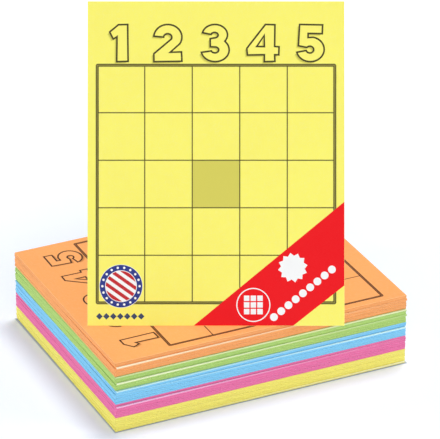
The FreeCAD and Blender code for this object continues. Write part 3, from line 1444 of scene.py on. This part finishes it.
@dataclass(frozen=True)
class StandingLabels:
    """The coloured labels at the foot of the standing card, with plain shapes on them.

    Attributes:
        board: the card's board.
        film, ink: the thickness of a label and of the ink on it.
        band: the diagonal band's corners, a little inside the board's edges.
        band_angle: its slope, in degrees.
        ring_centre, ring_radius, ring_line: the ring on it.
        tile_pitch, tile_half: the spacing of the nine squares in the ring, and half of their side.
        burst_centre, burst_radius, burst_points, burst_waist: the star-edged disc on the band.
        beads: the line of beads along the band.
        badge: the round badge.
        marks, mark_height: the row of marks under the badge, and how high its ink is.
        roughness: the shader's, where the labels shine most.
    """

    board: Board
    film: float = 0.09
    ink: float = 0.02
    band: tuple[Point, ...] = ((74.82, 0.12), (144.98, 0.12), (180.88, 28.4), (180.88, 87.3))
    band_angle: float = 39.4
    ring_centre: Point = (116.8, 14.7)
    ring_radius: float = 12.0
    ring_line: float = 0.75
    tile_pitch: float = 4.7
    tile_half: float = 1.9
    burst_centre: Point = (144.6, 41.0)
    burst_radius: float = 10.5
    burst_points: int = 12
    burst_waist: float = 0.8
    beads: BeadRow = BeadRow(9, 28, radius=2.75, spread=6.6, centre=(151.7, 22.9), angle=band_angle)
    badge: RoundBadge = RoundBadge()
    marks: BeadRow = BeadRow(7, 4, radius=2.3, spread=4.9, centre=(23.1, 6.65))
    mark_height: float = 0.05
    roughness: float = 0.42

    def inks(self) -> LabelInks:
        """Makes the labels' finishes, each from its ink, what shows through it, its cover and its gloss.

        Returns:
            A material for each finish.
        """
        red, white, yellow = ink_rgb(239, 4, 18), ink_rgb(248, 248, 246), TONES[BoardColour.YELLOW].face
        looks = {
            LabelInk.BAND_RED: (red, blend_rgb(red, white, 0.2), 0.93, 0.15),
            LabelInk.BAND_WHITE: (white, red, 0.98, 0.2),
            LabelInk.BADGE_WHITE: (white, ink_rgb(225, 225, 222), 0.9, 0.2),
            LabelInk.BADGE_RED: (ink_rgb(198, 36, 44), white, 0.96, 0.15),
            LabelInk.BADGE_BLUE: (ink_rgb(38, 52, 132), white, 0.96, 0.15),
            LabelInk.NAVY_MARK: (ink_rgb(40, 58, 100), yellow, 0.88, 0.2),
        }
        return {
            which: InkFinish(which.value, ink, ground, cover, self.roughness, specular).build()
            for which, (ink, ground, cover, specular) in looks.items()
        }

    def band_layers(self) -> FlatLayers:
        """Draws the diagonal band, the ring round nine squares on it, and the star-edged disc.

        Returns:
            The band's layers.
        """
        layers = FlatLayers("standing_card_band")
        layers.add([self.board.from_corner(list(self.band))], 0.0, self.film, LabelInk.BAND_RED)
        ring = [disc(self.ring_centre, self.ring_radius - width) for width in (0.0, self.ring_line)]
        shapes = [ring]
        for column in (-1, 0, 1):
            for row in (-1, 0, 1):
                x, y = self.ring_centre
                centre = (x + column * self.tile_pitch, y + row * self.tile_pitch)
                shapes.append([square(centre, self.tile_half)])
        shapes.append([star(self.burst_centre, self.burst_radius, self.band_angle, self.burst_points,
                            self.burst_waist)])
        for loops in shapes:
            plate = [self.board.from_corner(loop) for loop in loops]
            layers.add(plate, self.film / 2, self.film + self.ink, LabelInk.BAND_WHITE)
        return layers

    def build(self, card: CardPlace) -> None:
        """Makes the labels and puts them on their card.

        Args:
            card: the standing card.
        """
        materials = self.inks()
        white, navy = materials[LabelInk.BAND_WHITE], materials[LabelInk.NAVY_MARK]
        band = self.band_layers()
        beads = self.beads.build(white, self.film / 2, self.film + self.ink, self.board)
        band.add_plain(beads, LabelInk.BAND_WHITE)
        marks = FlatLayers("standing_card_marks")
        marks.add_plain(self.marks.build(navy, 0.0, self.mark_height, self.board), LabelInk.NAVY_MARK)
        badge = self.badge.build(self.board, self.film, self.ink, materials)
        for layers in (band, badge, marks):
            place_piece(layers.name, layers.to_mesh(materials), card, self.board)


# --- the pack ------------------------------------------------------------------------------------


@dataclass(frozen=True)
class CardPack:
    """The whole pack: the stack of lying cards and the card that stands on it."""

    board: Board = Board()

    def build(self) -> CardPlace:
        """Dresses every card.

        Returns:
            The place of the standing card.
        """
        PressedFibre().build()
        CutEdge(self.board.pitch * MM, self.board.length * MM, self.board.width / 2 * MM).build()
        InkFilm().build()
        cards = [CardPlace.read(node) for node in frame["nodes"]]
        boards = {
            colour: BoardFinish(f"felted_{colour.value}", TONES[colour]).build() for colour in BoardColour
        }
        inks = {colour: CardPrint.inks(colour) for colour in BoardColour}
        pattern, order = CardPrint(self.board).build(inks[BoardColour.YELLOW])
        standing = next(card for card in cards if card.stands)
        # The standing card takes no painted highlight on its rims.
        upright = BoardFinish(
            "felted_standing_yellow", TONES[standing.colour], painted_highlights=0.0, place=standing.matrix
        ).build()
        for card in cards:
            self.dress(card, upright if card.stands else boards[card.colour])
            mesh = pattern.copy()
            for slot, layer in enumerate(order):
                mesh.materials[slot] = inks[card.colour][layer]
            place_piece(f"{card.node}_print", mesh, card, self.board)
        bpy.data.meshes.remove(pattern)
        StandingLabels(self.board).build(standing)
        return standing

    @staticmethod
    def dress(card: CardPlace, board: bpy.types.Material) -> None:
        """Gives a card's own shape its finish.

        Args:
            card: the card.
            board: the material of its board.
        """
        node = frame["nodes"][card.node]
        node.data.materials.clear()
        node.data.materials.append(board)
        log.info("%s: %s", card.node, board.name)


# --- the studio ----------------------------------------------------------------------------------


@dataclass(frozen=True)
class HeroCamera:
    """A camera that faces the standing card squarely, as the photograph shows that card.

    Attributes:
        board: the card's board.
        focal_pixels: the focal length, in pixels of the image.
        pixels_per_mm: how large the card appears.
        card_centre: where its middle appears, in pixels from the image's upper left corner.
        sensor: the sensor's width in millimetres.
        furthest: how far the camera sees, in metres.
    """

    board: Board
    focal_pixels: float = 3500.0
    pixels_per_mm: float = 1.42
    card_centre: Point = (216.0, 163.5)
    sensor: float = 36.0
    furthest: float = 50.0

    def build(self, card: CardPlace) -> None:
        """Makes the camera and sets it as the scene's.

        Args:
            card: the standing card.
        """
        data = bpy.data.cameras.new("hero_camera")
        data.sensor_width = self.sensor
        data.lens = self.sensor * self.focal_pixels / IMAGE_WIDTH
        data.clip_end = self.furthest
        camera = bpy.data.objects.new("hero_camera", data)
        bpy.context.scene.collection.objects.link(camera)
        right = (IMAGE_WIDTH / 2 - self.card_centre[0]) / self.pixels_per_mm
        up = -(IMAGE_HEIGHT / 2 - self.card_centre[1]) / self.pixels_per_mm
        away = self.focal_pixels / self.pixels_per_mm
        offset = Vector((right, up, self.board.thickness + away)) * MM
        camera.matrix_world = card.matrix @ Matrix.Translation(offset)
        bpy.context.scene.camera = camera


@dataclass(frozen=True)
class SoftLamp:
    """One large soft lamp aimed at the pack.

    Attributes:
        name: its name.
        azimuth, elevation: where it hangs, in degrees. Azimuth 0 is in front of the stack, and 90 at
            its right.
        distance, size: how far away it is, and its diameter.
        level: its share of the light on a face that faces it.
        tint: its colour.
        passes: how the names start of the pieces that throw no shadow in its light.
    """

    name: str
    azimuth: float
    elevation: float
    distance: float
    size: float
    level: float
    tint: RGB = COOL_LIGHT
    passes: tuple[str, ...] = ()

    def build(self, target: Vector) -> None:
        """Hangs the lamp.

        Args:
            target: the point that it is aimed at.
        """
        data = bpy.data.lights.new(self.name, "AREA")
        data.shape, data.size, data.color = "DISK", self.size, self.tint
        data.energy = self.level * (math.pi * self.distance) ** 2
        lamp = bpy.data.objects.new(self.name, data)
        bpy.context.scene.collection.objects.link(lamp)
        around, up = math.radians(self.azimuth), math.radians(self.elevation)
        away = Vector((math.sin(around) * math.cos(up), -math.cos(around) * math.cos(up), math.sin(up)))
        lamp.location = target + away * self.distance
        lamp.rotation_euler = away.to_track_quat("Z", "Y").to_euler()
        if self.passes:
            self.let_past(lamp)

    def let_past(self, lamp: bpy.types.Object) -> None:
        """Keeps the pieces that passes names from shading the others.

        Args:
            lamp: this lamp's object.
        """
        shadeless = bpy.data.collections.new(f"{self.name}_shadeless")
        for piece in bpy.context.scene.objects:
            if piece.type == "MESH" and piece.name.startswith(self.passes):
                shadeless.objects.link(piece)
        lamp.light_linking.blocker_collection = shadeless
        for entry in shadeless.collection_objects:
            entry.light_linking.link_state = "EXCLUDE"


@dataclass(frozen=True)
class Studio:
    """A plain white floor, an even white surround and four soft lamps.

    Attributes:
        surround: the strength of the surround's light.
        floor_size, floor_drop: the floor's side, and how far it is below the pack.
        floor_tones: the two colours between which its grain varies.
        floor_grain: how many features of that grain there are in a metre.
        floor_roughness: the shader's.
        floor_lift: what is added to the floor as the camera sees it near the pack.
        lift_starts, white_from: how far from the pack's middle this starts to turn to white, and
            where it is white.
        contact_shadow_tone, contact_shadow_reach: the painted contact shadow round the lowest card: how dark
        the floor is painted where that card meets it, as a share of its colour, and how far from the card
        that ends.
        lowest_card: the card that lies on the floor.
        lamps: the lamps.
    """

    surround: float = 0.36
    floor_size: float = 8.0
    floor_drop: float = 0.0003
    floor_tones: tuple[RGB, RGB] = ((0.93, 0.955, 0.98), (0.94, 0.965, 0.985))
    floor_grain: float = 40.0
    floor_roughness: float = 0.9
    floor_lift: RGB = (0.03, 0.06, 0.135)
    lift_starts: float = 0.13
    white_from: float = 1.1
    contact_shadow_tone: float = 0.46
    contact_shadow_reach: float = 0.0015
    lowest_card: str = "yellow_card_1"
    lamps: tuple[SoftLamp, ...] = (
        SoftLamp("key_lamp", 116, 74, 4.0, 1.5, level=0.52, tint=(1.02, 1.0, 0.955), passes=("standing",)),
        SoftLamp("front_lamp", -24, 27, distance=3.2, size=1.8, level=0.2),
        SoftLamp("right_lamp", 48, 10, distance=2.8, size=1.0, level=0.32),
        SoftLamp("left_lamp", -105, 5, distance=2.4, size=0.8, level=0.355),
    )

    @staticmethod
    def seen_directly(graph: Graph) -> Socket:
        """1 for rays from the camera and for those that show it the white in gloss or glass."""
        path = graph.add("ShaderNodeLightPath").outputs
        return graph.highest(path["Is Camera Ray"], path["Is Glossy Ray"], path["Is Transmission Ray"])

    def build_surround(self) -> None:
        """The world: an even light that the camera sees as plain white."""
        world = bpy.data.worlds.new("white_surround")
        world.use_nodes = True
        graph = Graph(world.node_tree)
        light, white = (
            graph.add("ShaderNodeBackground", {"Color": (*colour, 1.0), "Strength": strength}).outputs[0]
            for colour, strength in ((COOL_LIGHT, self.surround), (WHITE, 1.0))
        )
        mixed = graph.add("ShaderNodeMixShader", {0: self.seen_directly(graph), 1: light, 2: white})
        output = graph.add("ShaderNodeOutputWorld")
        graph.link(mixed.outputs[0], output.inputs["Surface"])
        bpy.context.scene.world = world

    def clear_of_stack(self, graph: Graph, coordinates: Socket) -> Socket:
        """How clear of the painted contact shadow round the lowest card the floor is.

        Args:
            graph: the floor's tree.
            coordinates: the floor's Object coordinates.

        Returns:
            0 at that card's outline and under it, where the painted shadow is full, and 1 from a short way
            outside it.
        """
        low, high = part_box(self.lowest_card)
        corners = [vertex.co for vertex in frame["nodes"][self.lowest_card].data.vertices]
        # The card lies slightly askew, so that its front is at another place at each end.
        left, right = (min(corner.y for corner in corners if corner.x * side > 0) for side in (-1, 1))
        place = graph.separate(coordinates)
        ends = {"From Min": low[0], "From Max": high[0], "To Min": left, "To Max": right}
        front = graph.add("ShaderNodeMapRange", {"Value": place["X"], **ends}).outputs[0]
        past = (
            (front, place["Y"]), (place["Y"], high[1]), (low[0], place["X"]), (place["X"], high[0]),
        )
        outside = graph.highest(*(graph.math("SUBTRACT", *pair) for pair in past))
        return graph.ramp(outside, 0.0, self.contact_shadow_reach)

    def build_floor(self) -> None:
        """The floor, which keeps the pack's shadow, has a painted contact shadow round the lowest card, and
        is white to the camera outside it.
        """
        corners = [(*corner, -self.floor_drop) for corner in square((0.0, 0.0), self.floor_size / 2)]
        mesh = bpy.data.meshes.new("white_floor")
        mesh.from_pydata(corners, [], [(0, 1, 2, 3)])
        floor = bpy.data.objects.new("white_floor", mesh)
        bpy.context.scene.collection.objects.link(floor)
        material, graph, shader, coordinates = new_material("white_floor")
        pale = graph.mix(graph.noise(coordinates, self.floor_grain), *self.floor_tones)
        # Painted contact shadow: the floor's colour darkened in a thin line round the lowest card, where
        # shade falls.
        dark = scale_rgb(self.floor_tones[0], self.contact_shadow_tone)
        clear = self.clear_of_stack(graph, coordinates)
        graph.link(graph.mix(clear, dark, pale), shader.inputs["Base Color"])
        shader.inputs["Roughness"].default_value = self.floor_roughness
        shader.inputs["Specular IOR Level"].default_value = 0.0
        far = graph.ramp(graph.vector("LENGTH", coordinates), self.lift_starts, self.white_from)
        lift = {"Color": graph.mix(far, self.floor_lift, WHITE), "Strength": self.seen_directly(graph)}
        glow = graph.add("ShaderNodeEmission", lift)
        added = graph.add("ShaderNodeAddShader", {0: shader.outputs[0], 1: glow.outputs[0]})
        output = next(node for node in graph.tree.nodes if node.type == "OUTPUT_MATERIAL")
        graph.link(added.outputs[0], output.inputs["Surface"])
        mesh.materials.append(material)

    def build(self) -> None:
        """Makes the whole studio."""
        self.build_surround()
        self.build_floor()
        middle = (CAD_BOX[0] + CAD_BOX[1]) / 2
        for lamp in self.lamps:
            lamp.build(middle)
        bpy.context.scene.view_settings.view_transform = "Standard"


def main() -> None:
    """Builds the pack, its camera and its studio."""
    pack = CardPack()
    standing = pack.build()
    HeroCamera(pack.board).build(standing)
    Studio().build()


if __name__ == "__main__":
    main()
